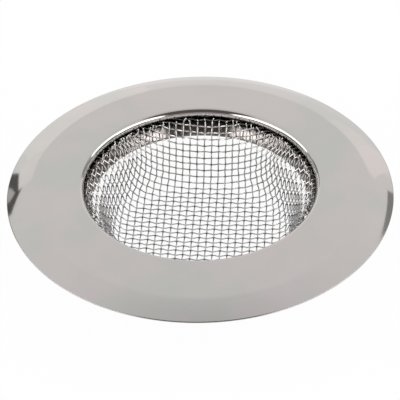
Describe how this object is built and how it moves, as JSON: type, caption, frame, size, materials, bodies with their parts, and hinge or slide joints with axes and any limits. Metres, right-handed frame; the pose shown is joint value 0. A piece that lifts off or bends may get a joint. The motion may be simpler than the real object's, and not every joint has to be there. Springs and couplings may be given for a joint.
{
  "type": "sink strainer",
  "caption": "Round sink strainer with a wide stamped brim, a rolled lip and a flat-bottomed basket of woven wire cloth clamped under it by a band.",
  "frame": {"origin": "on the strainer's axis, in the plane that the basket's floor stands on", "axes": "+Z along the strainer's axis, out of its mouth; +Y away from the picture's viewer"},
  "size_m": [0.1144, 0.1144, 0.0227],
  "materials": {
    "polished_steel": "polished sheet with faint cloudy marks",
    "band_steel": "drawn sheet, dull inside",
    "wire_steel": "bright drawn wire"
  },
  "bodies": {
    "root": {"brim": "polished_steel", "clamp_band": "band_steel", "mesh_basket": "wire_steel"}
  },
  "joints": []
}
